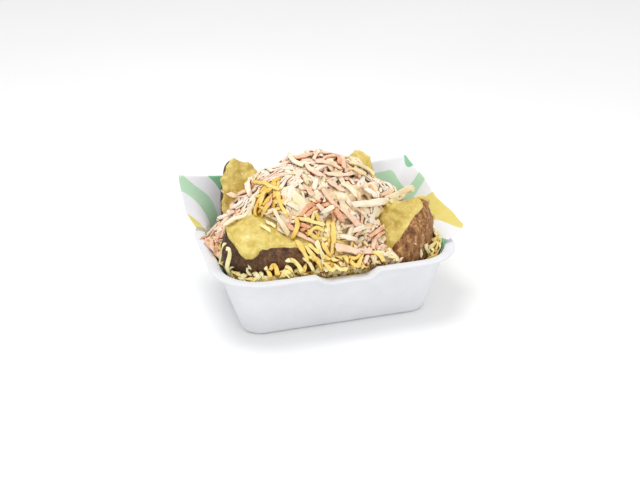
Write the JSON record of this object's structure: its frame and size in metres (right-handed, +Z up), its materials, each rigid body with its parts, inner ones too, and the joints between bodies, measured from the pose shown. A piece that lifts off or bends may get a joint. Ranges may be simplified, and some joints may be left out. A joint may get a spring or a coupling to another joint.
{
  "type": "loaded baked potato in a takeaway tray",
  "caption": "Cross-cut baked potato opened into petals, heaped with coleslaw and grated cheese, on printed paper in a white pulp tray.",
  "frame": {"origin": "middle of the tray's underside", "axes": "+Z up, X along the tray's long side, +Y to the tray's back, where the paper stands highest"},
  "size_m": [0.1949, 0.1289, 0.1193],
  "materials": {
    "pulp": "matte moulded paper pulp",
    "paper": "thin greaseproof paper with broad printed fields of green and yellow",
    "potato": "fluffy yellow flesh with a dry brown skin",
    "slaw": "creamy dressing over shredded cabbage and carrot",
    "cheese": "satin grated cheese"
  },
  "bodies": {
    "root": {"tray": "pulp", "liner": "paper", "potato": "potato", "slaw": "slaw", "cheese_front": "cheese", "cheese_top": "cheese", "cheese_right": "cheese", "cheese_left": "cheese"}
  },
  "joints": []
}
